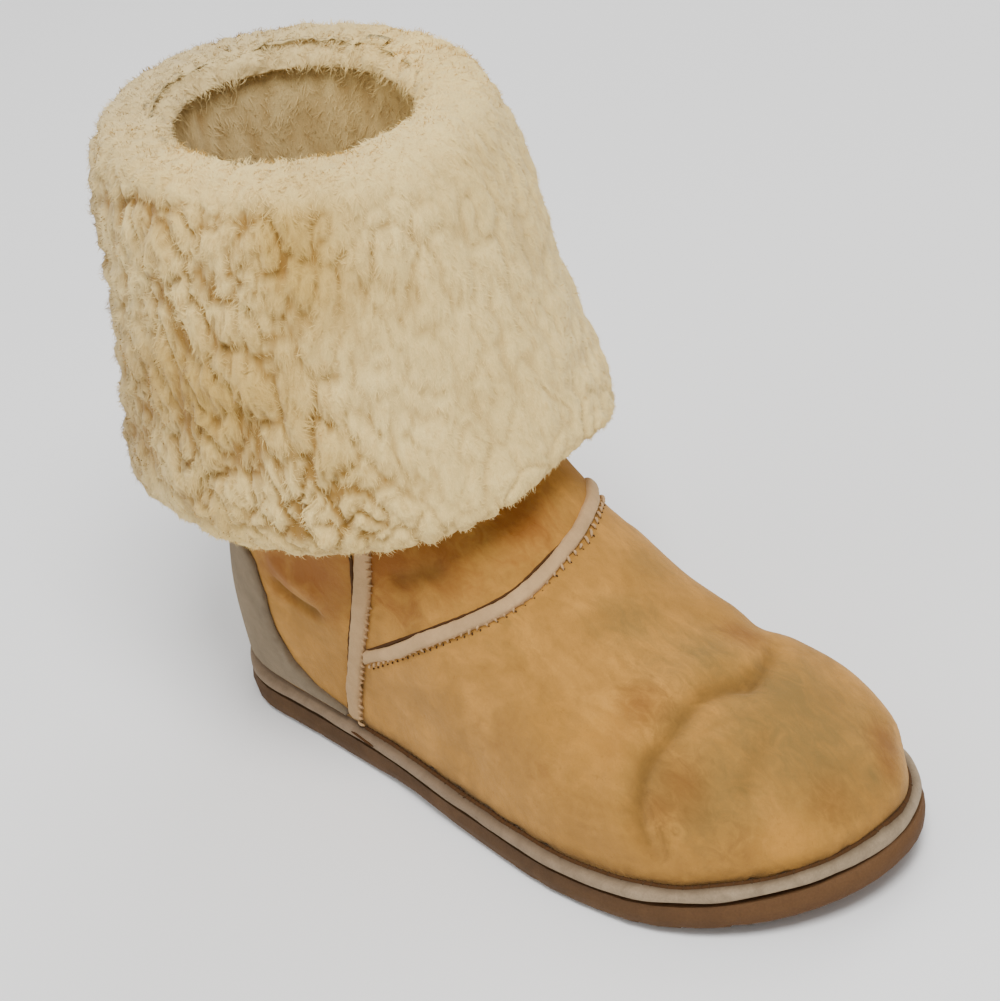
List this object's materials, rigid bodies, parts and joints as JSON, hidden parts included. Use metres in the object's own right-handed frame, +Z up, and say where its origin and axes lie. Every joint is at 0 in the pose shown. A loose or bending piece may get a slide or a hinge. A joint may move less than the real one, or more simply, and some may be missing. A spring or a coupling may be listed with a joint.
{
  "type": "sheepskin boot",
  "caption": "Ankle-high right winter boot of suede sheepskin on a flat sole, its tall fleece-lined shaft folded down into a deep cuff.",
  "frame": {"origin": "middle of the whole boot's footprint on the floor", "axes": "+X towards the toe, +Y towards the inner side of the foot, +Z up"},
  "size_m": [0.3, 0.145, 0.232],
  "materials": {
    "outsole_rubber": "matt moulded rubber foam",
    "band": "taupe suede-covered band",
    "suede": "tan napped suede",
    "fleece": "deep curly sheep's wool",
    "counter_suede": "grey-taupe napped suede",
    "binding": "beige suede tape"
  },
  "bodies": {
    "root": {"outsole": "outsole_rubber", "midsole_band": "band", "upper": "suede", "insole": "fleece", "fleece_cuff": "fleece", "heel_counter": "counter_suede", "side_binding_outer": "binding", "side_binding_inner": "binding", "vamp_binding": "binding"}
  },
  "joints": []
}
